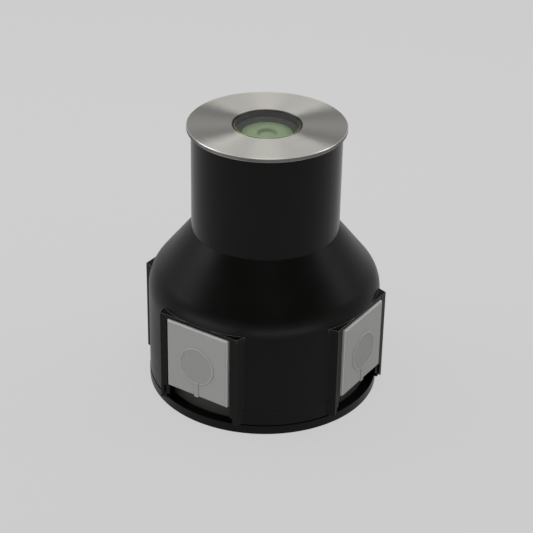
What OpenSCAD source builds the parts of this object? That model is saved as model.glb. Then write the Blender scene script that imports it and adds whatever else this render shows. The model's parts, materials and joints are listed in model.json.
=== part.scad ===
// In-ground well light: a black installation housing with four sliding entry plates,
// and a lift-out lamp with a stainless trim ring, a clear glass and an aimable LED optic.
// The origin is the centre of the underside, +Z is up, and the entry plates face -Y, +X, +Y and -X.

/* [Overall] */
// Height from the underside of the base to the face of the trim ring
overall_h = 198; // [190:1:210]
// Height of the crease where the neck meets the bell
crease_z = 121; // [118:1:125]
// Height of the seam between the bell and the base ring
seam_z = 19.5; // [18:0.5:20.5]

/* [Trim ring and glass] */
// Outer diameter of the trim ring
trim_d = 110; // [108:1:120]
// Thickness of the trim ring
trim_t = 3; // [2.5:0.25:4]
// Chamfer on the trim ring's edges
trim_edge = 0.5; // [0.2:0.1:0.8]
// Diameter of the light aperture
aperture_d = 47.5; // [44:0.5:50]
// How far the glass face lies below the trim face
glass_sink = 0.5; // [0.2:0.1:1]
// Thickness of the glass's hidden flange
glass_flange_t = 3.2; // [2.5:0.1:4]
// Thickness of the glass gaskets
gasket_t = 0.8; // [0.5:0.1:1.2]
// Radial width of the gasket that shows round the glass
gasket_w = 1; // [0.6:0.1:1.5]

/* [Neck sleeve] */
// Outer diameter of the neck sleeve
sleeve_d = 104; // [102:1:106]
// Wall of the neck sleeve
sleeve_wall = 2.8; // [2:0.2:3.4]
// Depth of the neck sleeve's socket in the bell
socket_depth = 18; // [12:1:22]
// Thickness of the collar's ledge under the neck sleeve
collar_ledge_t = 2; // [1.5:0.1:2.5]
// Thickness of the seal between the trim ring and the neck
trim_seal_t = 0.8; // [0.5:0.1:1.2]

/* [Bell] */
// Outer diameter of the bell's cylindrical wall
body_d = 165.2; // [163:0.5:167]
// Slope of the bell's cone below horizontal, in degrees
bell_slope = 51.5; // [49:0.5:53]
// Radius of the bell's shoulder
shoulder_r = 26; // [20:1:28]
// Wall of the bell and the base ring
body_wall = 3; // [2.5:0.1:3.5]

/* [Entry pads] */
// How far a pad's face lies inside the bell's round wall
pad_inset = 1; // [0.6:0.1:1.6]
// Width of a pad's frame at each side of a plate
frame_w = 7; // [6:0.1:8]
// Draft of the pads' sides, in degrees
pad_draft = 17; // [5:1:20]
// Thickness of the pads' side lips
lip_t = 2; // [1.5:0.1:2.4]
// Thickness of the pads' top ledge
ledge_t = 2.2; // [1.5:0.1:2.5]
// Width of a rail's raised face
rail_w = 5.5; // [4.5:0.25:6]
// How far the wall behind a plate is set back from the bell's round wall
recess_depth = 6.6; // [6.2:0.1:7.6]

/* [Entry plates] */
// Width of a plate's face
plate_w = 50; // [48:0.5:52]
// Height of a plate
plate_h = 53.4; // [51:0.1:53.6]
// Height of a plate's lower edge
plate_z = 21.6; // [21:0.1:23]
// How far a plate's face stands proud of the pad
plate_proud = 1.8; // [0.8:0.1:2]
// Bevel round a plate's face
plate_bevel = 1; // [0.5:0.1:1.4]
// Diameter of the knock-out disc
knockout_d = 28; // [24:0.5:30]
// Height of the knock-out disc's centre
knockout_z = 46.6; // [45:0.1:49]
// Width of the tear rib below the disc
rib_w = 3; // [2:0.25:4]
// Height of the disc and rib above the plate's face
relief = 0.5; // [0.3:0.1:0.7]

/* [Base ring] */
// How far the bottom rim stands proud of the bell's round wall
rim_proud = 0.3; // [0:0.1:1]
// Height of the bottom rim
rim_h = 6.5; // [5.5:0.25:7.5]
// Width of the floor, from the bell's round wall to the drain opening
floor_w = 24.6; // [22:0.2:30]
// Thickness of the floor
floor_t = 3; // [2.5:0.25:4]

/* [Lamp body] */
// Inner diameter of the lamp body
can_bore = 72; // [70:0.5:73]
// Wall of the lamp body
can_wall = 3; // [2.5:0.25:3.5]
// Length of the lamp body below the trim ring
can_h = 90; // [86:1:94]
// Number of cooling fins on the lamp body
fin_count = 24; // [12:1:30]
// Thickness of a cooling fin
fin_t = 1.6; // [1:0.2:2.4]
// Gap between the lamp body and the neck sleeve
insert_gap = 1.7; // [1.2:0.1:2.2]

/* [Optic] */
// Diameter of the lens
lens_d = 35; // [32:0.5:36]
// Distance from the glass down to the tilt axis
pivot_drop = 26; // [25:0.5:28]
// Height of the lens face above the tilt axis
lens_rise = 22.3; // [21:0.1:22.5]
// Diameter of the tilt pins
pin_d = 4; // [3:0.25:4.5]
// Diameter of the turntable's hub
hub_d = 20; // [18:0.5:22]
// Running clearance of the hub and the pins, on the radius
run_gap = 0.05; // [0.02:0.01:0.09]

/* [Cable gland] */
// Bore of the gland's seal, for the supply cable
cable_bore = 8; // [6:0.5:9]
// Diameter of the gland's thread
gland_d = 20; // [18:0.5:22]

/* [Hidden] */
$fn = 96;

// Overrun of cuts past the faces that they open
over = 1;
// Easy clearance between hidden pieces
ease = 0.3;

// Housing radii and levels
trim_r = trim_d / 2;
sleeve_r = sleeve_d / 2;
sleeve_ri = sleeve_r - sleeve_wall;
body_r = body_d / 2;
body_ri = body_r - body_wall;
rim_r = body_r + rim_proud;
drain_r = body_r - floor_w;
trim_z = overall_h - trim_t;
neck_top_z = trim_z - trim_seal_t;
sleeve_z = crease_z - socket_depth;
sleeve_lead = 1;
collar_t = 3;
collar_r = sleeve_r + collar_t;
collar_z = sleeve_z - collar_ledge_t;

// Bell profile: a cone that runs tangent into the shoulder arc
cone_end_r = body_r - shoulder_r + shoulder_r * sin(bell_slope);
cone_end_z = crease_z - (cone_end_r - sleeve_r) * tan(bell_slope);
shoulder_z = cone_end_z - shoulder_r * cos(bell_slope);
inner_end_r = cone_end_r - body_wall * sin(bell_slope);
inner_end_z = cone_end_z - body_wall * cos(bell_slope);
collar_top_z = inner_end_z + (inner_end_r - collar_r) * tan(bell_slope);

// Entry pads
pad_y = body_r - pad_inset;
plate_gap = 0.6;
plate_hw = plate_w / 2;
pad_hw = plate_hw + frame_w;
rail_lap = 1.5;
rail_in = pad_hw - rail_w;
pocket_hw = rail_in + rail_lap;
plate_top_z = plate_z + plate_h;
pocket_top_z = plate_top_z + plate_gap;
pad_top_z = pocket_top_z + ledge_t;
lip_setback = 1.2;
lip_back_y = pad_y - lip_t - plate_gap;
tongue_front_y = lip_back_y - ease;
tongue_t = 1.6;
tongue_back_y = tongue_front_y - tongue_t;
tongue_hw = pocket_hw - ease;
plate_y = pad_y + plate_proud;
knockout_r = knockout_d / 2;
disc_edge_w = 0.8;
disc_edge_h = 0.2;
knockout_skin = 1.6;
recess_r = body_r - recess_depth;
recess_ri = recess_r - body_wall;
pad_flare = (pad_y - recess_ri) * tan(pad_draft);
window_frame_w = 6;
window_hw = pocket_hw - window_frame_w;
window_top_z = pocket_top_z - window_frame_w;
window_z = seam_z + window_frame_w;

// Base ring
seam_gap = 0.1;
groove = 0.8;
foot_z = rim_h + 2 * groove;
foot_step = 1.5;
foot_chamfer = 2;
inner_lip_z = foot_z + 2 * foot_chamfer;
spigot_t = 2.2;
spigot_h = 4.5;
spigot_r = body_ri - ease;
base_ri = spigot_r - spigot_t;
boss_r = 6;
boss_lap = 1;
boss_at = body_ri - boss_r + boss_lap;
boss_h = 30;
base_screw_count = 4;
base_screw_r = 2;
base_screw_l = 26;
base_head_r = 3.8;
base_head_h = 3;
base_sink = 1;
base_hole_h = base_sink + base_head_h + base_screw_l - seam_z + 2 * over;

// Trim ring, glass and gaskets
aperture_r = aperture_d / 2;
glass_r = aperture_r - gasket_w;
glass_lap = 6;
glass_edge = 0.4;
glass_flange_r = glass_r + glass_lap;
glass_top_z = overall_h - glass_sink;
glass_flange_z = trim_z - gasket_t;
glass_z = glass_flange_z - glass_flange_t;
seat_z = glass_z - gasket_t;
gasket_edge = 0.3;

// Lamp body
can_ri = can_bore / 2;
can_r = can_ri + can_wall;
can_z = trim_z - can_h;
flange_r = sleeve_ri - insert_gap;
flange_h = 8.5;
flange_z = trim_z - flange_h;
light_r = aperture_r + ease + gasket_edge;
fin_inset = 1;
fin_r = flange_r - fin_inset;
fin_top_z = flange_z - 5 * fin_inset;
fin_base_z = can_z + 14 * fin_inset;
trim_screw_r = 1.5;
trim_screw_sink = 2;
trim_head_r = 2.75;
trim_head_h = 2.5;
trim_screw_at = can_r + trim_head_r + ease;
screw_count = 3;
rear_screw_count = 4;
rear_screw_r = 2;
rear_boss_r = 4.5;
rear_boss_h = 18;
rear_screw_at = can_r + rear_boss_r / 2;
rear_screw_l = 14;
rear_head_r = 3.5;
rear_head_h = 3;

// Leaf springs between the lamp body and the neck sleeve
spring_t = 0.6;
spring_angle = 14;
spring_l = 46;
spring_tab = 2.4;
spring_out_r = sleeve_ri - ease;
spring_end_r = fin_r + ease + spring_t;

// Turntable and its bearing plate
pivot_z = glass_z - pivot_drop;
table_drop = 17.5;
table_top_z = pivot_z - table_drop;
table_t = 3;
bearing_z = table_top_z - table_t;
bearing_t = 4;
bearing_r = can_ri - ease;
lug_r = 4;
lug_h = 8;
lug_at = can_ri - lug_r + fin_inset;
table_r = lug_at - lug_r - 2 * fin_inset;
bearing_screw_r = 1.5;
bearing_screw_l = 9;
bearing_head_r = 2.75;
bearing_head_h = 2.5;
hub_r = hub_d / 2;
hub_wall = 4;
hub_h = 7;
clip_t = 1;
clip_groove = 0.8;
clip_w = 2.8;
clip_z = bearing_z - bearing_t - ease - clip_t;
clip_gap_angle = 50;

// Tilting head
sink_r = lens_d / 2 + 2.5 * fin_inset;
sink_rise = 6;
sink_drop = 13;
sink_plate_t = 3;
sink_core_r = 11;
sink_fin_count = 18;
sink_fin_t = 1.4;
sink_top_z = pivot_z + sink_rise;
sink_z = pivot_z - sink_drop;
sink_boss_r = 4.5;
ear_gap = 3;
ear_t = 3;
ear_w = 12;
ear_x = sink_r + ear_gap;
pin_r = pin_d / 2;
pin_head_r = 3.5;
pin_head_t = 1;
pin_reach = 3;
lead_r = 2;
lead_gap = 0.5;
board_t = 1.6;
board_r = lens_d / 2 - ease;
chip_r = 5.5;
chip_t = 1;
lens_r = lens_d / 2;
lens_top_z = pivot_z + lens_rise;
lens_foot_r = 8.5;
lens_foot_gap = 0.4;
lens_flange_t = 1.6;
lens_flange_w = 0.9;
lens_pocket_r = 6.6;
lens_pocket_h = 4;
dimple_r = 6.9;
dimple_floor_r = 5.4;
dimple_depth = 2;
lens_steps = 12;

// Driver and its tray
rear_t = 4.5;
rear_z = can_z - rear_t;
rear_spigot_h = 4;
rear_spigot_r = can_ri - ease;
rear_top_z = can_z + rear_spigot_h;
rear_seal_w = 2;
rear_seal_h = 2;
rear_seal_z = can_z + (rear_spigot_h - rear_seal_h) / 2;
tray_t = 1.5;
tray_w = 44;
tray_d = 26;
tray_rise = 7.5;
tray_foot = 6;
tray_leg_d = 12;
tray_screw_r = 1.5;
tray_screw_l = 6;
tray_head_r = 2.5;
tray_head_h = 2;
driver_w = 40;
driver_h = 16;
driver_edge = 1.5;
driver_z = rear_top_z + tray_rise + tray_t;
driver_shift = 2;
terminal_w = 24;
terminal_d = 9;
terminal_h = 12;
terminal_gap = 2;
terminal_y = tray_d / 2 - driver_shift + terminal_gap;
pole_count = 3;
pole_r = 1.8;
wire_r = 1;
wire_bend = 4;

// Cable gland and vent
gland_r = gland_d / 2;
cable_r = cable_bore / 2;
hex_sides = 6;
gland_hex_r = gland_r + 4;
gland_hex_h = 6;
gland_thread_h = 16;
gland_seal_t = 2.5;
gland_seal_h = 11.5;
gland_nut_h = 10;
gland_nut_lip = 4;
gland_nut_end_r = 9;
gland_seal_r = cable_r + gland_seal_t;
gland_mouth_r = cable_r + gland_seal_t / 2;
vent_r = 6;
vent_hex_r = 8.5;
vent_hex_h = 3.5;
vent_at = 24;
vent_hole_r = 1.2;

// Copies its children onto the four pads
module at_pads() {
    for (a = [0:90:270])
        rotate(a) children();
}

// Copies its children round the axis at radius r
module around(count, r, start = 0) {
    for (i = [0:count - 1])
        rotate(start + i * 360 / count) translate([r, 0, 0]) children();
}

// Block on the -Y side, symmetric about the pad's middle
module pad_box(hw, y_out, y_in, z0, z1) {
    translate([-hw, -y_out, z0]) cube([2 * hw, y_out - y_in, z1 - z0]);
}

// Two mirrored uprights on the -Y side
module rail_pair(x0, x1, y_out, y_in, z0, z1) {
    for (s = [0, 1])
        mirror([s, 0, 0]) translate([x0, -y_out, z0]) cube([x1 - x0, y_out - y_in, z1 - z0]);
}

// Space in front of a round wall of radius r, within hw of the pad's middle
module pocket(r, hw, z0, z1) {
    difference() {
        pad_box(hw, rim_r + over, 0, z0, z1);
        translate([0, 0, z0 - over]) cylinder(r = r, h = z1 - z0 + 2 * over);
    }
}

// Ring between two radii
module ring(r_in, r_out, z, h) {
    translate([0, 0, z]) difference() {
        cylinder(r = r_out, h = h);
        translate([0, 0, -over]) cylinder(r = r_in, h = h + 2 * over);
    }
}

// Outside of the bell as a half section
module bell_section() {
    polygon([[0, seam_z], [body_r, seam_z], [body_r, shoulder_z], [cone_end_r, cone_end_z],
        [sleeve_r, crease_z], [0, crease_z]]);
    translate([body_r - shoulder_r, shoulder_z]) circle(shoulder_r);
}

// Inside of the bell as a half section, below the neck collar
module cavity_section() {
    polygon([[0, seam_z - over], [body_ri, seam_z - over], [body_ri, shoulder_z],
        [inner_end_r, inner_end_z], [collar_r, collar_top_z], [collar_r, collar_z], [0, collar_z]]);
    translate([body_r - shoulder_r, shoulder_z]) circle(shoulder_r - body_wall);
}

// Hollow of the bell, which leaves the pocket walls and the screw bosses standing
module bell_cavity() {
    difference() {
        rotate_extrude() cavity_section();
        at_pads() pocket(recess_ri, pocket_hw + body_wall, seam_z - 2 * over, pocket_top_z + body_wall);
        around(base_screw_count, boss_at, 45)
            translate([0, 0, seam_z - 2 * over]) cylinder(r = boss_r, h = boss_h + 2 * over);
    }
}

// Block on the -Y side whose sides spread with the draft towards the bell
module pad_block(z0, z1) {
    translate([0, 0, z0]) linear_extrude(z1 - z0) polygon([[-pad_hw, -pad_y], [pad_hw, -pad_y],
        [pad_hw + pad_flare, -recess_ri], [-pad_hw - pad_flare, -recess_ri]]);
}

// Lips that hold a plate: the rails' raised faces, and the lower lips beside the plate
module plate_lips(z0, z1) {
    rail_pair(rail_in, pocket_hw + over, pad_y, lip_back_y, z0, z1);
    rail_pair(plate_hw + plate_gap, rail_in + over, pad_y - lip_setback, lip_back_y, z0, z1);
}

// Way for a conduit through the wall behind a plate
module entry_window() {
    pad_box(window_hw, recess_r + over, recess_ri - recess_depth, window_z, window_top_z);
}

module bell_housing() {
    color("#1d1d1c") {
        difference() {
            union() {
                rotate_extrude() bell_section();
                at_pads() pad_block(seam_z, pad_top_z);
            }
            bell_cavity();
            translate([0, 0, sleeve_z]) cylinder(r = sleeve_r, h = socket_depth + over);
            translate([0, 0, collar_z - over]) cylinder(r = sleeve_ri, h = collar_ledge_t + 2 * over);
            at_pads() {
                pad_box(pad_hw, body_r + over, pad_y, seam_z - over, pad_top_z);
                pocket(recess_r, pocket_hw, seam_z - over, pocket_top_z);
                entry_window();
            }
            around(base_screw_count, boss_at, 45)
                translate([0, 0, seam_z - over]) cylinder(r = base_screw_r, h = base_hole_h);
        }
        at_pads() plate_lips(seam_z, pocket_top_z + over);
    }
}

module neck_sleeve() {
    color("#20201f") rotate_extrude() polygon([[sleeve_ri, sleeve_z], [sleeve_r, sleeve_z],
        [sleeve_r, neck_top_z], [sleeve_ri + sleeve_lead, neck_top_z],
        [sleeve_ri, neck_top_z - sleeve_lead]]);
}

// Feet of one pad's rails on the base ring, with chamfered inner corners
module base_pad() {
    foot_x = pocket_hw + foot_step;
    top_z = seam_z - seam_gap;
    rail_pair(pocket_hw, foot_x + over, pad_y - lip_setback, recess_ri, foot_z, top_z);
    intersection() {
        pad_block(foot_z, top_z);
        for (s = [0, 1])
            mirror([s, 0, 0]) rotate([90, 0, 0]) linear_extrude(body_r)
                polygon([[foot_x, seam_z], [foot_x, foot_z + 2 * foot_chamfer],
                    [foot_x + foot_chamfer, foot_z], [body_r, foot_z], [body_r, seam_z]]);
    }
}

module base_ring() {
    top_z = seam_z - seam_gap;
    color("#1d1d1c") {
        difference() {
            union() {
                difference() {
                    cylinder(r = body_r, h = top_z);
                    ring(body_r - groove, rim_r + over, rim_h, groove);
                }
                cylinder(r = rim_r, h = rim_h);
                at_pads() base_pad();
                difference() {
                    cylinder(r = spigot_r, h = seam_z + spigot_h);
                    at_pads()
                        pad_box(pocket_hw + body_wall + ease, rim_r + over, 0, top_z, seam_z + 2 * spigot_h);
                    around(base_screw_count, boss_at, 45)
                        translate([0, 0, seam_z]) cylinder(r = boss_r + ease, h = 2 * spigot_h);
                }
                around(base_screw_count, boss_at, 45) cylinder(r = boss_r - boss_lap, h = seam_z);
            }
            difference() {
                translate([0, 0, floor_t]) cylinder(r = base_ri, h = seam_z + spigot_h);
                at_pads() pocket(recess_ri, pocket_hw + body_wall, floor_t - over, top_z);
                around(base_screw_count, boss_at, 45) cylinder(r = boss_r - boss_lap, h = seam_z);
            }
            translate([0, 0, -over]) cylinder(r = drain_r, h = floor_t + 2 * over);
            at_pads() {
                pad_box(pad_hw, body_r + over, pad_y, rim_h, seam_z);
                pocket(recess_r, pocket_hw, rim_h, seam_z + over);
            }
            around(base_screw_count, boss_at, 45) {
                translate([0, 0, -over]) cylinder(r = base_screw_r + ease, h = seam_z + 2 * over);
                translate([0, 0, -over])
                    cylinder(r = base_head_r + ease, h = base_sink + base_head_h + over);
            }
        }
        at_pads()
            rail_pair(plate_hw + plate_gap, pocket_hw + over, pad_y - lip_setback, lip_back_y,
                inner_lip_z, top_z);
    }
}

// Screw that points up from z, with its head below
module screw_up(r, l, head_r, head_h, z) {
    translate([0, 0, z]) {
        translate([0, 0, head_h]) cylinder(r = r, h = l);
        difference() {
            cylinder(r = head_r, h = head_h);
            translate([0, 0, -over]) cylinder(r = r, h = head_h / 2 + over, $fn = hex_sides);
        }
    }
}

module base_screws() {
    color("silver") around(base_screw_count, boss_at, 45)
        screw_up(base_screw_r, base_screw_l, base_head_r, base_head_h, base_sink);
}

// Face of a plate, bevelled on its four sides
module plate_face() {
    back_y = tongue_front_y;
    intersection() {
        translate([0, 0, plate_z]) linear_extrude(plate_h)
            polygon([[-plate_hw, -back_y], [plate_hw, -back_y],
                [plate_hw, plate_bevel - plate_y], [plate_hw - plate_bevel, -plate_y],
                [plate_bevel - plate_hw, -plate_y], [-plate_hw, plate_bevel - plate_y]]);
        rotate([90, 0, 90]) translate([0, 0, -plate_w]) linear_extrude(2 * plate_w)
            polygon([[-back_y, plate_z], [plate_bevel - plate_y, plate_z], [-plate_y, plate_z + plate_bevel],
                [-plate_y, plate_top_z - plate_bevel], [plate_bevel - plate_y, plate_top_z],
                [-back_y, plate_top_z]]);
    }
}

// One entry plate: face, guide tongue, knock-out disc with its rim, and tear rib
module entry_plate() {
    disc_y = plate_y + relief;
    difference() {
        union() {
            plate_face();
            pad_box(tongue_hw, tongue_front_y, tongue_back_y, plate_z, plate_top_z);
            translate([0, -tongue_back_y, knockout_z]) rotate([90, 0, 0]) {
                cylinder(r = knockout_r - disc_edge_w, h = disc_y - tongue_back_y);
                ring(knockout_r - disc_edge_w, knockout_r, 0, disc_y + disc_edge_h - tongue_back_y);
            }
            pad_box(rib_w / 2, disc_y, tongue_front_y, plate_z, knockout_z - knockout_r + rib_w / 2);
        }
        translate([0, -tongue_back_y + over, knockout_z]) rotate([90, 0, 0])
            cylinder(r = knockout_r - disc_edge_w, h = plate_y - knockout_skin - tongue_back_y + over);
    }
}

module entry_plate_front() {
    color("#8f8f8d") entry_plate();
}

module entry_plate_right() {
    color("#8f8f8d") rotate(90) entry_plate();
}

module entry_plate_back() {
    color("#8f8f8d") rotate(180) entry_plate();
}

module entry_plate_left() {
    color("#8f8f8d") rotate(270) entry_plate();
}

module trim_ring() {
    color("#b5b3af") difference() {
        rotate_extrude() polygon([[aperture_r, trim_z], [trim_r - trim_edge, trim_z],
            [trim_r, trim_z + trim_edge], [trim_r, overall_h - trim_edge], [trim_r - trim_edge, overall_h],
            [aperture_r + trim_edge, overall_h], [aperture_r, overall_h - trim_edge]]);
        around(screw_count, trim_screw_at)
            translate([0, 0, trim_z - over]) cylinder(r = trim_screw_r, h = trim_screw_sink + over);
    }
}

module trim_seal() {
    color("#111111") ring(flange_r, sleeve_r - trim_edge, neck_top_z, trim_seal_t);
}

module trim_screws() {
    color("silver") around(screw_count, trim_screw_at)
        screw_up(trim_screw_r, flange_h + trim_screw_sink, trim_head_r, trim_head_h, flange_z - trim_head_h);
}

module front_glass() {
    color("#b9d0c0", 0.4) rotate_extrude() polygon([[0, glass_z], [glass_flange_r, glass_z],
        [glass_flange_r, glass_flange_z], [glass_r, glass_flange_z], [glass_r, glass_top_z - glass_edge],
        [glass_r - glass_edge, glass_top_z], [0, glass_top_z]]);
}

module glass_gasket() {
    color("#111111") rotate_extrude() polygon([[glass_r, glass_flange_z], [glass_flange_r, glass_flange_z],
        [glass_flange_r, trim_z], [aperture_r, trim_z], [aperture_r, glass_top_z - gasket_edge],
        [glass_r, glass_top_z - gasket_edge - glass_edge]]);
}

module seat_gasket() {
    color("#111111") ring(light_r, glass_flange_r, seat_z, gasket_t);
}

module lamp_body() {
    color("#9a9c9e") difference() {
        union() {
            rotate_extrude() polygon([[can_ri, can_z], [can_r, can_z], [can_r, flange_z],
                [flange_r, flange_z], [flange_r, trim_z], [glass_flange_r + ease, trim_z],
                [glass_flange_r + ease, seat_z], [light_r, seat_z], [light_r, flange_z],
                [can_ri, flange_z]]);
            around(fin_count, (can_r + fin_r) / 2 - can_wall / 4, 360 / fin_count / 2)
                translate([-(fin_r - can_r) / 2 - can_wall / 4, -fin_t / 2, fin_base_z])
                    cube([fin_r - can_r + can_wall / 2, fin_t, fin_top_z - fin_base_z]);
            around(rear_screw_count, rear_screw_at, 45)
                translate([0, 0, can_z]) cylinder(r = rear_boss_r, h = rear_boss_h);
            intersection() {
                around(screw_count, lug_at, 90) translate([0, 0, bearing_z]) cylinder(r = lug_r, h = lug_h);
                cylinder(r = can_r, h = trim_z);
            }
        }
        around(rear_screw_count, rear_screw_at, 45)
            translate([0, 0, can_z - over]) cylinder(r = rear_screw_r, h = rear_screw_l - rear_t + 2 * over);
        around(screw_count, lug_at, 90)
            translate([0, 0, bearing_z - over])
                cylinder(r = bearing_screw_r, h = bearing_screw_l - bearing_t + 2 * over);
        around(screw_count, trim_screw_at)
            translate([0, 0, flange_z - over]) cylinder(r = trim_screw_r, h = flange_h + 2 * over);
    }
}

// Leaf springs: a tab under the flange and a bowed leaf down the side
module retaining_springs() {
    color("silver") for (i = [0:screw_count - 1])
        rotate(60 - spring_angle / 2 + i * 120) rotate_extrude(angle = spring_angle)
            polygon([[flange_r - spring_tab, flange_z], [flange_r, flange_z],
                [spring_out_r, flange_z - spring_l / 2], [spring_end_r, flange_z - spring_l],
                [spring_end_r - spring_t, flange_z - spring_l],
                [spring_out_r - spring_t, flange_z - spring_l / 2],
                [flange_r - spring_t, flange_z - spring_t], [flange_r - spring_tab, flange_z - spring_t]]);
}

module bearing_plate() {
    color("#8a8c8e") translate([0, 0, bearing_z - bearing_t]) difference() {
        cylinder(r = bearing_r, h = bearing_t);
        translate([0, 0, -over]) cylinder(r = hub_r + run_gap, h = bearing_t + 2 * over);
        around(screw_count, lug_at, 90)
            translate([0, 0, -over]) cylinder(r = bearing_screw_r + ease, h = bearing_t + 2 * over);
    }
}

module bearing_screws() {
    color("silver") around(screw_count, lug_at, 90) screw_up(bearing_screw_r, bearing_screw_l,
        bearing_head_r, bearing_head_h, bearing_z - bearing_t - bearing_head_h);
}

module turntable() {
    color("#2a2a2a") difference() {
        union() {
            translate([0, 0, bearing_z]) cylinder(r = table_r, h = table_t);
            translate([0, 0, bearing_z - hub_h]) cylinder(r = hub_r, h = hub_h + table_t);
            for (s = [0, 1])
                mirror([s, 0, 0]) {
                    translate([ear_x, -ear_w / 2, bearing_z]) cube([ear_t, ear_w, pivot_z - bearing_z]);
                    translate([ear_x, 0, pivot_z]) rotate([0, 90, 0]) cylinder(r = ear_w / 2, h = ear_t);
                }
        }
        translate([0, 0, bearing_z - hub_h - over])
            cylinder(r = hub_r - hub_wall, h = hub_h + table_t + 2 * over);
        ring(hub_r - clip_groove, hub_r + over, clip_z, clip_t);
        translate([-ear_x - ear_t - over, 0, pivot_z]) rotate([0, 90, 0])
            cylinder(r = pin_r, h = 2 * (ear_x + ear_t + over));
    }
}

module pan_circlip() {
    color("silver") difference() {
        ring(hub_r - clip_groove, hub_r - clip_groove + clip_w, clip_z, clip_t);
        translate([0, 0, clip_z - over]) linear_extrude(clip_t + 2 * over)
            polygon([[0, 0], [2 * hub_r * cos(clip_gap_angle / 2), -2 * hub_r * sin(clip_gap_angle / 2)],
                [2 * hub_r * cos(clip_gap_angle / 2), 2 * hub_r * sin(clip_gap_angle / 2)]]);
    }
}

module tilt_pins() {
    color("silver") for (s = [0, 1])
        mirror([s, 0, 0]) translate([0, 0, pivot_z]) rotate([0, 90, 0]) {
            translate([0, 0, sink_r - pin_reach])
                cylinder(r = pin_r, h = ear_x + ear_t - sink_r + pin_reach);
            translate([0, 0, ear_x + ear_t]) cylinder(r = pin_head_r, h = pin_head_t);
        }
}

module heat_sink() {
    color("#a8aaac") difference() {
        union() {
            translate([0, 0, sink_top_z - sink_plate_t]) cylinder(r = sink_r, h = sink_plate_t);
            translate([0, 0, sink_z]) cylinder(r = sink_core_r, h = sink_top_z - sink_z);
            around(sink_fin_count, 0) translate([sink_core_r - sink_fin_t, -sink_fin_t / 2, sink_z])
                cube([sink_r - sink_core_r + sink_fin_t / 2, sink_fin_t,
                    sink_top_z - sink_z - sink_plate_t / 2]);
            for (s = [0, 1])
                mirror([s, 0, 0]) translate([sink_core_r - sink_fin_t, 0, pivot_z]) rotate([0, 90, 0])
                    cylinder(r = sink_boss_r, h = ear_x - ease - sink_core_r + sink_fin_t);
        }
        translate([0, 0, sink_z - over]) cylinder(r = lead_r + ease, h = sink_top_z - sink_z + 2 * over);
        for (s = [0, 1])
            mirror([s, 0, 0]) translate([sink_r - pin_reach - ease, 0, pivot_z]) rotate([0, 90, 0])
                cylinder(r = pin_r + run_gap, h = ear_gap + pin_reach + over);
    }
}

module led_board() {
    color("#e9e9e4") translate([0, 0, sink_top_z]) cylinder(r = board_r, h = board_t);
}

module led_chip() {
    color("#e8c94a") translate([0, 0, sink_top_z + board_t]) cylinder(r = chip_r, h = chip_t);
}

module board_lead() {
    color("#c8c8c4") translate([0, 0, sink_z]) cylinder(r = lead_r, h = sink_top_z - sink_z);
}

// Moulded lens: a paraboloid side, a pocket over the chip and a dimple in its face
module lens() {
    foot_z = sink_top_z + board_t + lens_foot_gap;
    rise = lens_top_z - lens_flange_t - foot_z;
    swell = lens_r - lens_flange_w - lens_foot_r;
    color("#c4dccb", 0.5) rotate_extrude() polygon(concat(
        [[0, foot_z + lens_pocket_h], [lens_pocket_r - ease, foot_z + lens_pocket_h],
            [lens_pocket_r, foot_z]],
        [for (i = [0:lens_steps])
            [lens_foot_r + swell * i / lens_steps, foot_z + rise * pow(i / lens_steps, 2)]],
        [[lens_r, lens_top_z - lens_flange_t], [lens_r, lens_top_z], [dimple_r, lens_top_z],
            [dimple_floor_r, lens_top_z - dimple_depth], [0, lens_top_z - dimple_depth]]));
}

module lens_holder() {
    color("#26282a") rotate_extrude() polygon([[board_r + ease / 2, sink_top_z], [sink_r, sink_top_z],
        [sink_r, lens_top_z], [lens_r + ease / 2, lens_top_z],
        [lens_r + ease / 2, lens_top_z - lens_flange_t],
        [lens_r - lens_flange_w + ease / 2, lens_top_z - lens_flange_t],
        [lens_r - lens_flange_w + ease, lens_top_z - 2 * lens_flange_t],
        [board_r + ease / 2, lens_top_z - 2 * lens_flange_t - lens_flange_w]]);
}

module driver_tray() {
    color("#b0b2b4") {
        translate([0, -driver_shift, 0]) difference() {
            union() {
                translate([-tray_w / 2, -tray_d / 2, driver_z - tray_t]) cube([tray_w, tray_d, tray_t]);
                for (s = [0, 1])
                    mirror([s, 0, 0]) {
                        translate([tray_w / 2 - tray_t, -tray_leg_d / 2, rear_top_z])
                            cube([tray_t, tray_leg_d, driver_z - rear_top_z]);
                        translate([tray_w / 2 - tray_t, -tray_leg_d / 2, rear_top_z])
                            cube([tray_t + tray_foot, tray_leg_d, tray_t]);
                    }
            }
            for (s = [0, 1])
                mirror([s, 0, 0]) translate([(tray_w + tray_foot) / 2, 0, rear_top_z - over])
                    cylinder(r = tray_screw_r, h = tray_t + 2 * over);
        }
    }
}

module tray_screws() {
    color("silver") for (s = [0, 1])
        mirror([s, 0, 0])
            translate([(tray_w + tray_foot) / 2, -driver_shift, rear_top_z + tray_t + tray_head_h])
                rotate([180, 0, 0]) screw_up(tray_screw_r, tray_screw_l, tray_head_r, tray_head_h, 0);
}

// Potted driver with bevelled upper edges
module driver_module() {
    hw = driver_w / 2;
    color("#e4e4e0") translate([0, tray_d / 2 - driver_shift, driver_z]) rotate([90, 0, 0])
        linear_extrude(tray_d) polygon([[-hw, 0], [hw, 0], [hw, driver_h - driver_edge],
            [hw - driver_edge, driver_h], [driver_edge - hw, driver_h], [-hw, driver_h - driver_edge]]);
}

module terminal_block() {
    color("#d8d8d2") difference() {
        translate([-terminal_w / 2, terminal_y, rear_top_z]) cube([terminal_w, terminal_d, terminal_h]);
        for (i = [0:pole_count - 1])
            translate([(i - (pole_count - 1) / 2) * terminal_w / pole_count, terminal_y + terminal_d + over,
                rear_top_z + terminal_h / 2])
                rotate([90, 0, 0]) cylinder(r = pole_r, h = terminal_d / 2 + over);
    }
}

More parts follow.
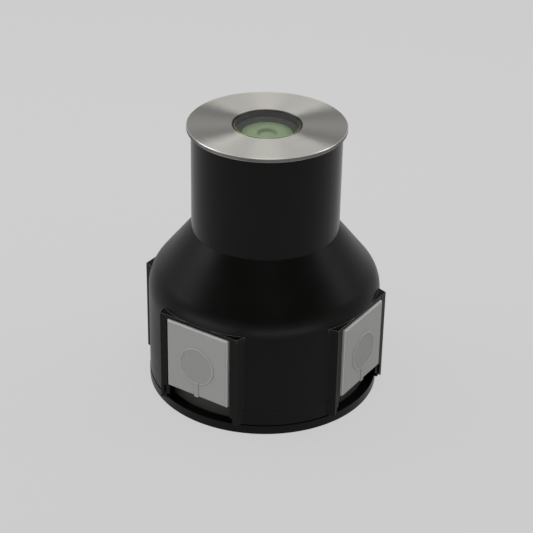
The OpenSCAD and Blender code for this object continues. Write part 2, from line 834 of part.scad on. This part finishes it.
// Two short wires that rise from the terminals and bend into the driver's side
module input_leads() {
    side_y = tray_d / 2 - driver_shift;
    bend_z = driver_z + driver_h / 2;
    start_z = rear_top_z + terminal_h;
    color("#7a4a2a") for (x = [-terminal_w / pole_count / 2, terminal_w / pole_count / 2])
        translate([x, side_y, 0]) {
            translate([0, wire_bend, start_z]) cylinder(r = wire_r, h = bend_z - start_z);
            translate([0, 0, bend_z]) rotate([90, 0, 90]) rotate_extrude(angle = 90)
                translate([wire_bend, 0]) circle(wire_r);
        }
}

module output_lead() {
    start_z = driver_z + driver_h;
    color("#c8c8c4") translate([0, 0, start_z]) cylinder(r = lead_r, h = sink_z - lead_gap - start_z);
}

module rear_cover() {
    color("#8a8c8e") difference() {
        union() {
            translate([0, 0, rear_z]) cylinder(r = can_r, h = rear_t);
            around(rear_screw_count, rear_screw_at, 45)
                translate([0, 0, rear_z]) cylinder(r = rear_boss_r, h = rear_t);
            translate([0, 0, rear_z]) cylinder(r = rear_spigot_r, h = rear_t + rear_spigot_h);
        }
        ring(can_ri - rear_seal_w, can_ri + over, rear_seal_z, rear_seal_h);
        translate([0, 0, rear_z - over]) cylinder(r = gland_r, h = rear_t + rear_spigot_h + 2 * over);
        translate([0, -vent_at, rear_z - over]) cylinder(r = vent_r, h = rear_t + rear_spigot_h + 2 * over);
        around(rear_screw_count, rear_screw_at, 45)
            translate([0, 0, rear_z - over]) cylinder(r = rear_screw_r + ease, h = rear_t + 2 * over);
        for (s = [0, 1])
            mirror([s, 0, 0])
                translate([(tray_w + tray_foot) / 2, -driver_shift, rear_top_z + tray_t - tray_screw_l])
                    cylinder(r = tray_screw_r, h = tray_screw_l);
    }
}

module rear_seal() {
    color("#111111") ring(can_ri - rear_seal_w, can_ri, rear_seal_z, rear_seal_h);
}

module rear_screws() {
    color("silver") around(rear_screw_count, rear_screw_at, 45)
        screw_up(rear_screw_r, rear_screw_l, rear_head_r, rear_head_h, rear_z - rear_head_h);
}

module gland_body() {
    color("#2b2b2b") translate([0, 0, rear_z]) difference() {
        union() {
            translate([0, 0, -gland_hex_h]) cylinder(r = gland_hex_r, h = gland_hex_h, $fn = hex_sides);
            translate([0, 0, -gland_thread_h]) cylinder(r = gland_r, h = gland_thread_h);
            cylinder(r = gland_r, h = rear_t + rear_spigot_h + tray_t);
        }
        translate([0, 0, -gland_thread_h - over])
            cylinder(r = gland_seal_r, h = 2 * gland_thread_h + 2 * over);
    }
}

module gland_seal() {
    color("#151515") ring(cable_r, gland_seal_r, rear_z - gland_thread_h, gland_seal_h);
}

module gland_nut() {
    nut_z = rear_z - gland_thread_h - gland_nut_lip;
    color("#2b2b2b") translate([0, 0, nut_z]) difference() {
        union() {
            translate([0, 0, gland_nut_lip])
                cylinder(r = gland_hex_r, h = gland_nut_h - gland_nut_lip / 2, $fn = hex_sides);
            cylinder(r1 = gland_nut_end_r, r2 = gland_hex_r * cos(180 / hex_sides), h = gland_nut_lip);
        }
        translate([0, 0, -over]) cylinder(r = gland_mouth_r, h = gland_nut_h);
        translate([0, 0, gland_nut_lip]) cylinder(r = gland_r, h = gland_nut_h + over);
    }
}

module vent_plug() {
    color("#2b2b2b") translate([0, -vent_at, 0]) difference() {
        union() {
            translate([0, 0, rear_z - vent_hex_h]) cylinder(r = vent_hex_r, h = vent_hex_h, $fn = hex_sides);
            translate([0, 0, rear_z]) cylinder(r = vent_r, h = rear_t + rear_spigot_h);
        }
        translate([0, 0, rear_z - vent_hex_h - over]) cylinder(r = vent_hole_r, h = vent_hex_h + rear_t);
    }
}

neck_sleeve();
bell_housing();
base_ring();
base_screws();
entry_plate_front();
entry_plate_right();
entry_plate_back();
entry_plate_left();
trim_ring();
trim_seal();
trim_screws();
front_glass();
glass_gasket();
seat_gasket();
lamp_body();
retaining_springs();
bearing_plate();
bearing_screws();
driver_module();
driver_tray();
tray_screws();
terminal_block();
input_leads();
output_lead();
rear_cover();
rear_seal();
rear_screws();
gland_body();
gland_seal();
gland_nut();
vent_plug();
turntable();
pan_circlip();
tilt_pins();
heat_sink();
led_board();
led_chip();
board_lead();
lens_holder();
lens();
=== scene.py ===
import json
import math

import bpy
from mathutils import Matrix, Vector

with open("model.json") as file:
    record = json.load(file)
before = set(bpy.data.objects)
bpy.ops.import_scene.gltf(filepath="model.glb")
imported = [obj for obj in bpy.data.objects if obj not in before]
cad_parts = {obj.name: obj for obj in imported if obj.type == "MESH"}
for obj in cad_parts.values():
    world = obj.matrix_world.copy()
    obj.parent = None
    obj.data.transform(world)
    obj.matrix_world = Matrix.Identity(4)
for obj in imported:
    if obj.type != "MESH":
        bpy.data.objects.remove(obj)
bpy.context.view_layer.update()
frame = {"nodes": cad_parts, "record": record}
nodes = frame["nodes"]

# The photograph's camera: angles in degrees, distance in metres, lens and sensor in millimetres
AZIMUTH = 33.106
ELEVATION = 29.246
ROLL = 1.054
DISTANCE = 1.1195
TARGET = Vector((0, 0, 0.095))
LENS = 106.47
SENSOR = 36
FRAME_PX = 533
SHIFT_PX = (1.71, -10.225)
FAR_CLIP = 100

# Places on the solids, in metres. A pair is the start and end of a soft step in a material
DISC_Z = 0.0466
DISC_R = 0.0132
PLATE_Z = 0.0483
PLATE_HALF_W = 0.0250
PLATE_HALF_H = 0.0267
DISC_EDGE_R = (DISC_R - 0.0003, DISC_R + 0.0001)
RING_INNER_R = (DISC_R, DISC_R + 0.0002)
RING_OUTER_R = (DISC_R + 0.0008, DISC_R + 0.0010)
PLATE_RIM = (-0.0008, -0.0005)
POCKET_WALL_R = (0.0761, 0.0763)
POCKET_FOOT_Z = (0.0068, 0.0078)
POCKET_TOP_Z = (0.0755, 0.0765)
PAD_FOOT_Z = (0.0205, 0.0215)
PAD_TOP_Z = (0.079, 0.081)
LEDGE_Z = (0.0745, 0.0765)
THROAT_R = (0.0365, 0.0368)
THROAT_Z = (0.170, 0.171)
TRIM_HOLE_R = (0.02420, 0.02428)
TRIM_CHAMFER_R = (0.05447, 0.05455)
TRIM_RIM_R = (0.05470, 0.05485)
TRIM_SIDE_Z = (0.19755, 0.19765)
GLASS_BEVEL_R = (0.02225, 0.02240)
GLASS_GROUND_R = (0.02262, 0.02270)
DIMPLE_INNER_R = (0.0048, 0.0056)
DIMPLE_OUTER_R = (0.0066, 0.0076)
LENS_EDGE_R = (0.0125, 0.0172)

# Colours of painted light and shade, and sizes of texture
# painted light: a grey that lightens the bell's pocket walls under the plates
POCKET_PAINTED_LIGHT = (0.034, 0.034, 0.031)
# painted highlights along the pads' edges, six times brighter on the ledges
EDGE_HIGHLIGHT = (0.030, 0.030, 0.028)
LEDGE_HIGHLIGHT = [6 * c for c in EDGE_HIGHLIGHT]
EDGE_RADIUS = 0.0003
# painted shade inside the lamp's opening below the glass
THROAT_SHADE = (0.012, 0.014, 0.011)
# painted shade on the trim's outer side
STEEL_SIDE_SHADE = (0.17, 0.165, 0.155)
# painted highlight on the trim's top chamfer
STEEL_CHAMFER_HIGHLIGHT = (0.80, 0.79, 0.76)
# painted shade on the edge round the trim's hole
STEEL_HOLE_EDGE_SHADE = (0.10, 0.10, 0.085)
# painted highlight on the raised ring round the plate's disc
PLATE_RING_HIGHLIGHT = (0.42, 0.42, 0.41)
# painted highlight along the plate's bevelled rim
PLATE_RIM_HIGHLIGHT = (0.48, 0.48, 0.47)
STIPPLE_PITCH = 0.0015
# painted glint: yellow-green on the cover glass's bevel
GLASS_BEVEL_GLINT = (0.42, 0.48, 0.14)
# painted shade on the cover glass's ground edge
GLASS_EDGE_SHADE = (0.035, 0.042, 0.016)
# painted shade towards the lens's edge
LENS_EDGE_SHADE = (0.30, 0.34, 0.25)
# painted shade on the wall of the lens's dimple
DIMPLE_WALL_SHADE = (0.34, 0.39, 0.28)
BEVEL_SAMPLES = 6

# Studio: the grey behind the part, the sky's dark end and the heights of its fade, and the light
BACKDROP = 0.604
SKY_DARK = 0.06
SKY_FADE = (0.20, 0.62)
SKY_LIGHT = (0.64, 0.64, 0.64, 1)
PAPER = (0.55, 0.55, 0.55, 1)
PAPER_GLOW = 0.90
FLOOR_HALF = 30.0
FLOOR_DROP = 0.0002

# name, sideways, towards the camera, height, height aimed at, width, depth, watts
LIGHTS = (
    ("left_fill", -1.3, 1.0, 0.14, 0.10, 1.4, 0.26, 4),
    ("front_fill", 0.6, 1.6, 0.14, 0.10, 2.2, 0.26, 4),
    ("left_high", -1.3, -0.2, 0.95, 0.10, 0.9, 0.7, 4),
    ("right_high", 1.3, -0.2, 0.95, 0.10, 0.6, 0.6, 2.5),
    ("front_strip", 0.0, 0.42, 1.15, 0.15, 0.6, 0.2, 1.6),
    ("back_strip", -0.1, -0.32, 0.85, 0.19, 1.5, 0.75, 6.5),
)


# Node helpers
class Tree:
    """A node tree with short helpers. A value is a number, a colour or another node's output."""

    def __init__(self, owner):
        owner.use_nodes = True
        self.tree = owner.node_tree

    def node(self, kind, inputs=None, **settings):
        """Adds a node with its settings, then its inputs, which go by name or by place."""
        made = self.tree.nodes.new(kind)
        for key, value in settings.items():
            setattr(made, key, value)
        for key, value in (inputs or {}).items():
            self.feed(value, made.inputs[key])
        return made

    def feed(self, value, socket):
        if isinstance(value, bpy.types.NodeSocket):
            self.tree.links.new(value, socket)
        else:
            socket.default_value = value

    def math(self, operation, a, b=0.0):
        return self.node("ShaderNodeMath", {0: a, 1: b}, operation=operation).outputs[0]

    def times(self, first, *others):
        for other in others:
            first = self.math("MULTIPLY", first, other)
        return first

    def hypot(self, a, b):
        return self.math("SQRT", self.math("ADD", self.times(a, a), self.times(b, b)))

    def span(self, value, start, end, from_value, to_value, **settings):
        """Goes from one value to another while value goes from start to end."""
        made = self.node("ShaderNodeMapRange", {"Value": value}, **settings)
        for place, number in enumerate((start, end, from_value, to_value), 1):
            made.inputs[place].default_value = number
        return made.outputs[0]

    def blend(self, share, a, b):
        return self.node("ShaderNodeMixShader", {0: share, 1: a, 2: b}).outputs[0]

    def seen_rays(self):
        """1 for camera, glossy and transmission rays, which see the backdrop and don't light."""
        rays = self.node("ShaderNodeLightPath").outputs
        seen = self.math("MAXIMUM", rays["Is Camera Ray"], rays["Is Glossy Ray"])
        return self.math("MAXIMUM", seen, rays["Is Transmission Ray"])


class Mat(Tree):
    """A Principled material in object coordinates, which are the part's own."""

    def __init__(self, name, color, rough, metal=0.0, specular=0.5, **sockets):
        self.material = bpy.data.materials.new(name)
        super().__init__(self.material)
        self.shader = self.tree.nodes["Principled BSDF"]
        self.color = color
        self.heights = []
        self.place = self.node("ShaderNodeTexCoord").outputs["Object"]
        self.set("Base Color", (*color, 1.0))
        self.set("Roughness", rough)
        self.set("Metallic", metal)
        self.set("Specular IOR Level", specular)
        for socket, value in sockets.items():
            self.set(socket.replace("_", " "), value)

    def set(self, socket, value):
        self.feed(value, self.shader.inputs[socket])

    def xyz(self):
        return self.node("ShaderNodeSeparateXYZ", {"Vector": self.place}).outputs

    def radius(self):
        x, y, _ = self.xyz()
        return self.hypot(x, y)

    def vector(self, x, y, z):
        return self.node("ShaderNodeCombineXYZ", {"X": x, "Y": y, "Z": z}).outputs[0]

    def noise(self, scale, detail=3.0, roughness=0.5, vector=None):
        inputs = {"Vector": vector or self.place, "Scale": scale, "Detail": detail,
                  "Roughness": roughness}
        return self.node("ShaderNodeTexNoise", inputs).outputs["Fac"]

    def rise(self, value, step):
        return self.span(value, *step, 0.0, 1.0)

    def fall(self, value, step):
        return self.span(value, *step, 1.0, 0.0)

    def mix(self, share, a, b):
        made = self.node("ShaderNodeMix", data_type="RGBA")
        self.feed(share, made.inputs[0])
        for place, value in ((6, a), (7, b)):
            colored = value if isinstance(value, bpy.types.NodeSocket) else (*value, 1.0)
            self.feed(colored, made.inputs[place])
        return made.outputs[2]

    def tint(self, share, low_gain, high_gain):
        """Varies the colour between two gains of the material's own."""
        return self.mix(share, *[[c * gain for c in self.color] for gain in (low_gain, high_gain)])

    def soft_normal(self, radius):
        made = self.node("ShaderNodeBevel", {"Radius": radius}, samples=BEVEL_SAMPLES)
        return made.outputs[0]

    def edge_share(self):
        """1 along convex and concave edges, 0 on open faces."""
        flat = self.node("ShaderNodeNewGeometry").outputs["Normal"]
        turn = self.node("ShaderNodeVectorMath", {0: self.soft_normal(EDGE_RADIUS), 1: flat},
                         operation="DOT_PRODUCT")
        return self.rise(turn.outputs["Value"], (0.995, 0.90))

    def bump(self, height, distance, strength):
        self.heights.append((height, distance, strength))

    def done(self, edge=0.0):
        """Chains the bumps, starting from softened edges where edge is given."""
        normal = self.soft_normal(edge) if edge else None
        for height, distance, strength in self.heights:
            inputs = {"Height": height, "Distance": distance, "Strength": strength}
            if normal:
                inputs["Normal"] = normal
            normal = self.node("ShaderNodeBump", inputs).outputs[0]
        if normal:
            self.set("Normal", normal)
        return self.material


# Materials
def moulded(name, color, rough, specular, grain=2600.0, edge=0.0004, paint_light=False):
    """Moulded plastic with a fine grain; the bell's flag adds painted light on its pocket walls
    and painted highlights on its pad edges.
    """
    m = Mat(name, color, rough, specular=specular)
    cloud = m.noise(22.0, detail=4.0)
    body = m.tint(cloud, 0.875, 1.15)
    if paint_light:
        level = m.xyz()[2]
        in_pocket = m.times(m.fall(m.radius(), POCKET_WALL_R), m.fall(level, POCKET_TOP_Z),
                            m.rise(level, POCKET_FOOT_Z))
        on_pad = m.times(m.rise(level, PAD_FOOT_Z), m.fall(level, PAD_TOP_Z))
        # painted highlights on the pads' edges, brighter on the ledges
        edge_highlight = m.mix(m.rise(level, LEDGE_Z), EDGE_HIGHLIGHT, LEDGE_HIGHLIGHT)
        # painted light on the pocket walls under the plates
        body = m.mix(in_pocket, body, POCKET_PAINTED_LIGHT)
        body = m.mix(m.times(m.edge_share(), on_pad), body, edge_highlight)
    m.set("Base Color", body)
    m.set("Roughness", m.span(cloud, 0.3, 0.7, rough - 0.05, rough + 0.06))
    m.bump(m.noise(grain, detail=2.0), distance=0.00002, strength=0.5)
    m.bump(m.noise(60.0, detail=2.0), distance=0.00006, strength=0.25)
    return m.done(edge)


def rubber(name):
    m = Mat(name, (0.008, 0.008, 0.008), 0.62, specular=0.25)
    speck = m.noise(900.0)
    m.set("Base Color", m.tint(speck, 0.6, 1.5))
    m.bump(speck, distance=0.00004, strength=0.4)
    return m.done(edge=0.0002)


def cast(name, throat=False):
    """Cast aluminium with a grained skin; the throat flag paints shade into the opening below the
    glass.
    """
    m = Mat(name, (0.52, 0.53, 0.54), 0.42, metal=1.0)
    skin = m.noise(420.0, detail=5.0, roughness=0.6)
    body = m.tint(m.noise(30.0), 0.82, 1.08)
    if throat:
        inside = m.times(m.fall(m.radius(), THROAT_R), m.rise(m.xyz()[2], THROAT_Z))
        # painted shade inside the opening below the glass
        body = m.mix(inside, body, THROAT_SHADE)
    m.set("Base Color", body)
    m.set("Roughness", m.span(skin, 0.3, 0.7, 0.34, 0.52))
    m.bump(skin, distance=0.00008, strength=0.45)
    return m.done(edge=0.0004)


def sheet_metal(name, color, rough, streak_axis):
    """Drawn or rolled steel, streaked along one axis."""
    m = Mat(name, color, rough, metal=1.0)
    scales = [2200.0, 2200.0, 2200.0]
    scales[streak_axis] = 60.0
    stretched = m.vector(*[m.times(c, scale) for c, scale in zip(m.xyz(), scales)])
    streak = m.noise(1.0, vector=stretched)
    m.set("Base Color", m.tint(streak, 0.82, 1.1))
    m.set("Roughness", m.span(streak, 0.3, 0.7, rough - 0.08, rough + 0.08))
    m.bump(streak, distance=0.00001, strength=0.4)
    return m.done(edge=0.0002)


def brushed_ring(name):
    """Stainless steel turned on a lathe: fine rings round the axis."""
    m = Mat(name, (0.585, 0.569, 0.527), 0.40, metal=1.0, Anisotropic=0.95,
            Anisotropic_Rotation=0.25)
    x, y, z = m.xyz()
    radius = m.hypot(x, y)
    angle = m.math("ARCTAN2", y, x)
    fine, broad = [
        m.noise(1.0, detail, 0.6, m.vector(m.times(radius, rings), m.times(angle, turns), seed))
        for detail, rings, turns, seed in ((4.0, 9000.0, 2.5, 0.0), (3.0, 900.0, 1.2, 3.0))]
    lines = m.math("ADD", m.times(fine, 0.6), m.times(broad, 0.4))
    side = m.times(m.rise(radius, TRIM_RIM_R), m.fall(z, TRIM_SIDE_Z))
    chamfer_highlight = m.math("SUBTRACT", m.rise(radius, TRIM_CHAMFER_R), side)
    body = m.tint(m.rise(lines, (0.35, 0.65)), 0.93, 1.05)
    # painted shade on the trim's outer side
    body = m.mix(side, body, STEEL_SIDE_SHADE)
    # painted highlight on the top chamfer
    body = m.mix(chamfer_highlight, body, STEEL_CHAMFER_HIGHLIGHT)
    # painted shade on the edge round the hole
    body = m.mix(m.fall(radius, TRIM_HOLE_R), body, STEEL_HOLE_EDGE_SHADE)
    m.set("Base Color", body)
    m.set("Roughness", m.span(lines, 0.3, 0.7, 0.35, 0.46))
    m.bump(lines, distance=0.000006, strength=0.5)
    tangent = m.node("ShaderNodeTangent", direction_type="RADIAL", axis="Z")
    m.set("Tangent", tangent.outputs[0])
    return m.done()


def plate_grey(name, across):
    """Grey plate with a stippled disc; across is 0 or 1, the axis that runs along the plate."""
    m = Mat(name, (0.27, 0.27, 0.263), 0.5, specular=0.35)
    xyz = m.xyz()
    side, level = xyz[across], xyz[2]
    up = m.math("SUBTRACT", level, DISC_Z)
    away = m.hypot(side, up)
    disc = m.fall(away, DISC_EDGE_R)
    ring_highlight = m.times(m.rise(away, RING_INNER_R), m.fall(away, RING_OUTER_R))
    weave = m.times(*[m.math("SINE", m.times(c, 2 * math.pi / STIPPLE_PITCH)) for c in (side, up)])
    grit = m.times(m.noise(1500.0, detail=2.0), 0.5)
    dots = m.rise(m.math("ADD", weave, grit), (-0.6, 1.1))
    past_side = m.math("SUBTRACT", m.math("ABSOLUTE", side), PLATE_HALF_W)
    past_end = m.math("SUBTRACT", m.math("ABSOLUTE", m.math("SUBTRACT", level, PLATE_Z)),
                      PLATE_HALF_H)
    rim_highlight = m.rise(m.math("MAXIMUM", past_side, past_end), PLATE_RIM)
    body = m.mix(disc, m.tint(m.noise(35.0, detail=4.0), 0.95, 1.05), m.tint(dots, 0.78, 1.12))
    # painted highlight on the ring round the disc
    body = m.mix(m.times(ring_highlight, 0.5), body, PLATE_RING_HIGHLIGHT)
    # painted highlight along the plate's rim
    body = m.mix(m.times(rim_highlight, 0.5), body, PLATE_RIM_HIGHLIGHT)
    m.set("Base Color", body)
    m.set("Roughness", m.span(disc, 0.0, 1.0, 0.5, 0.7))
    m.bump(m.times(dots, disc), distance=0.00025, strength=0.8)
    m.bump(m.noise(1800.0, detail=2.0), distance=0.00002, strength=0.3)
    return m.done(edge=0.0005)


def cover_glass(name):
    """Clear glass with a faint green body, a painted yellow-green glint on its bevel and painted
    shade on its ground edge.
    """
    m = Mat(name, (0.86, 0.95, 0.80), 0.01, specular=0.22, IOR=1.46)
    radius = m.radius()
    bevel_glint = m.rise(radius, GLASS_BEVEL_R)
    ground = m.rise(radius, GLASS_GROUND_R)
    # painted yellow-green glint on the glass's bevel, which also lowers transmission
    body = m.mix(bevel_glint, m.tint(m.noise(40.0), 0.97, 1.0), GLASS_BEVEL_GLINT)
    # painted shade on the glass's ground edge
    m.set("Base Color", m.mix(ground, body, GLASS_EDGE_SHADE))
    m.set("Transmission Weight",
          m.fall(m.math("MAXIMUM", m.times(bevel_glint, 0.4), ground), (0.0, 1.0)))
    m.set("Roughness", m.span(ground, 0.0, 1.0, 0.01, 0.5))
    return m.done()


def lens_plastic(name):
    """Moulded optic: a pale green frosted face, with painted shade at its dimple's wall and its
    edge.
    """
    m = Mat(name, (0.80, 0.90, 0.66), 0.30, specular=0.3, IOR=1.49, Transmission_Weight=0.30)
    radius = m.radius()
    cloud = m.noise(160.0)
    shaded_wall = m.times(m.rise(radius, DIMPLE_INNER_R), m.fall(radius, DIMPLE_OUTER_R))
    body = m.tint(cloud, 0.88, 1.06)
    # painted shade towards the lens's edge
    body = m.mix(m.times(m.rise(radius, LENS_EDGE_R), 0.75), body, LENS_EDGE_SHADE)
    # painted shade on the dimple's wall
    body = m.mix(m.times(shaded_wall, 0.55), body, DIMPLE_WALL_SHADE)
    m.set("Base Color", body)
    m.bump(cloud, distance=0.00012, strength=0.4)
    return m.done()


def circuit_board(name):
    m = Mat(name, (0.72, 0.73, 0.70), 0.35)
    cells = m.node("ShaderNodeTexVoronoi", {"Vector": m.place, "Scale": 260.0})
    m.set("Base Color", m.tint(m.rise(cells.outputs["Distance"], (0.3, 0.45)), 0.9, 1.02))
    m.bump(m.noise(700.0), distance=0.00002, strength=0.3)
    return m.done()


def phosphor(name):
    m = Mat(name, (0.75, 0.56, 0.06), 0.4)
    dots = m.noise(1500.0, detail=2.0)
    m.set("Base Color", m.tint(dots, 0.85, 1.15))
    m.bump(dots, distance=0.00003, strength=0.3)
    return m.done()


RECIPES = {
    "sleeve_black": (moulded, dict(color=(0.0022, 0.0023, 0.0019), rough=0.20, specular=0.15,
                                   grain=3200.0, edge=0.0003)),
    "housing_black": (moulded, dict(color=(0.0018, 0.0018, 0.0015), rough=0.33, specular=0.14,
                                    paint_light=True)),
    "plate_grey_x": (plate_grey, dict(across=0)),
    "plate_grey_y": (plate_grey, dict(across=1)),
    "trim_steel": (brushed_ring, {}),
    "seal_rubber": (rubber, {}),
    "clear_glass": (cover_glass, {}),
    "lens_acrylic": (lens_plastic, {}),
    "cast_aluminium": (cast, {}),
    "cast_throat": (cast, dict(throat=True)),
    "sheet_steel": (sheet_metal, dict(color=(0.58, 0.58, 0.59), rough=0.32, streak_axis=0)),
    "screw_steel": (sheet_metal, dict(color=(0.60, 0.60, 0.61), rough=0.26, streak_axis=2)),
    "holder_black": (moulded, dict(color=(0.007, 0.008, 0.007), rough=0.5, specular=0.2)),
    "driver_white": (moulded, dict(color=(0.60, 0.60, 0.57), rough=0.5, specular=0.4,
                                   grain=900.0)),
    "terminal_ivory": (moulded, dict(color=(0.60, 0.60, 0.52), rough=0.45, specular=0.4)),
    "board_white": (circuit_board, {}),
    "chip_phosphor": (phosphor, {}),
    "wire_brown": (moulded, dict(color=(0.12, 0.045, 0.02), rough=0.45, specular=0.4)),
    "lead_grey": (moulded, dict(color=(0.42, 0.42, 0.40), rough=0.5, specular=0.4)),
    "gland_black": (moulded, dict(color=(0.012, 0.012, 0.012), rough=0.42, specular=0.35)),
}
OWN_LOOKS = {
    "entry_plate_front": "plate_grey_x",
    "entry_plate_back": "plate_grey_x",
    "entry_plate_right": "plate_grey_y",
    "entry_plate_left": "plate_grey_y",
    "lamp_body": "cast_throat",
}
looks = {name: make(name, **values) for name, (make, values) in RECIPES.items()}
slots = {row["node"]: row["material_slot"] for row in frame["record"]["subparts"]}
for name, obj in nodes.items():
    obj.data.materials.clear()
    obj.data.materials.append(looks[OWN_LOOKS.get(name, slots[name])])


# Camera
def put(obj):
    bpy.context.scene.collection.objects.link(obj)
    return obj


azimuth, elevation = math.radians(AZIMUTH), math.radians(ELEVATION)
right = Vector((math.cos(azimuth), math.sin(azimuth), 0))
toward = Vector((math.sin(azimuth), -math.cos(azimuth), 0))
back = toward * math.cos(elevation) + Vector((0, 0, math.sin(elevation)))
camera = put(bpy.data.objects.new("photo_camera", bpy.data.cameras.new("photo_camera")))
camera.data.lens = LENS
camera.data.sensor_width = SENSOR
camera.data.sensor_fit = "HORIZONTAL"
camera.data.shift_x, camera.data.shift_y = [shift / FRAME_PX for shift in SHIFT_PX]
camera.data.clip_end = FAR_CLIP
turn = Matrix((right, back.cross(right), back)).transposed()
turn = turn @ Matrix.Rotation(math.radians(ROLL), 3, "Z")
camera.matrix_world = Matrix.Translation(TARGET + back * DISTANCE) @ turn.to_4x4()
bpy.context.scene.camera = camera

# Lights
for name, sideways, near, height, aim_height, width, depth, watts in LIGHTS:
    light = bpy.data.lights.new(name, "AREA")
    light.shape = "RECTANGLE"
    light.size, light.size_y, light.energy = width, depth, watts
    softbox = put(bpy.data.objects.new(name, light))
    softbox.location = right * sideways + toward * near + Vector((0, 0, height))
    aim = Vector((0, 0, aim_height)) - softbox.location
    softbox.rotation_euler = aim.to_track_quat("-Z", "Y").to_euler()
    if name == "back_strip":
        softbox.rotation_euler.z = azimuth

# Sky: the backdrop's grey near the horizon and darker above, for the rays that see it
world = bpy.data.worlds.new("studio")
bpy.context.scene.world = world
sky = Tree(world)
sky.tree.nodes.clear()
direction = sky.node("ShaderNodeTexCoord").outputs["Generated"]
level = sky.node("ShaderNodeSeparateXYZ", {0: direction}).outputs["Z"]
fade = sky.span(level, *SKY_FADE, BACKDROP, SKY_DARK, interpolation_type="SMOOTHSTEP")
shown = sky.node("ShaderNodeBackground", {"Color": fade}).outputs[0]
lit = sky.node("ShaderNodeBackground", {"Color": SKY_LIGHT}).outputs[0]
sky.node("ShaderNodeOutputWorld", {0: sky.blend(sky.seen_rays(), lit, shown)})

# Floor: pale paper that glows with the backdrop's grey and keeps the part's shadow
mesh = bpy.data.meshes.new("floor")
corners = [(x * FLOOR_HALF, y * FLOOR_HALF, 0) for x, y in ((-1, -1), (1, -1), (1, 1), (-1, 1))]
mesh.from_pydata(corners, [], [(0, 1, 2, 3)])
floor = put(bpy.data.objects.new("floor", mesh))
floor.location.z = -FLOOR_DROP
paper = bpy.data.materials.new("floor_paper")
sheet = Tree(paper)
sheet.tree.nodes.clear()
glow = sheet.node("ShaderNodeEmission", {"Color": (BACKDROP, BACKDROP, BACKDROP, 1)}).outputs[0]
matt = sheet.node("ShaderNodeBsdfDiffuse", {"Color": PAPER}).outputs[0]
seen = sheet.blend(PAPER_GLOW, matt, glow)
sheet.node("ShaderNodeOutputMaterial", {0: sheet.blend(sheet.seen_rays(), matt, seen)})
mesh.materials.append(paper)

bpy.context.scene.view_settings.view_transform = "Standard"
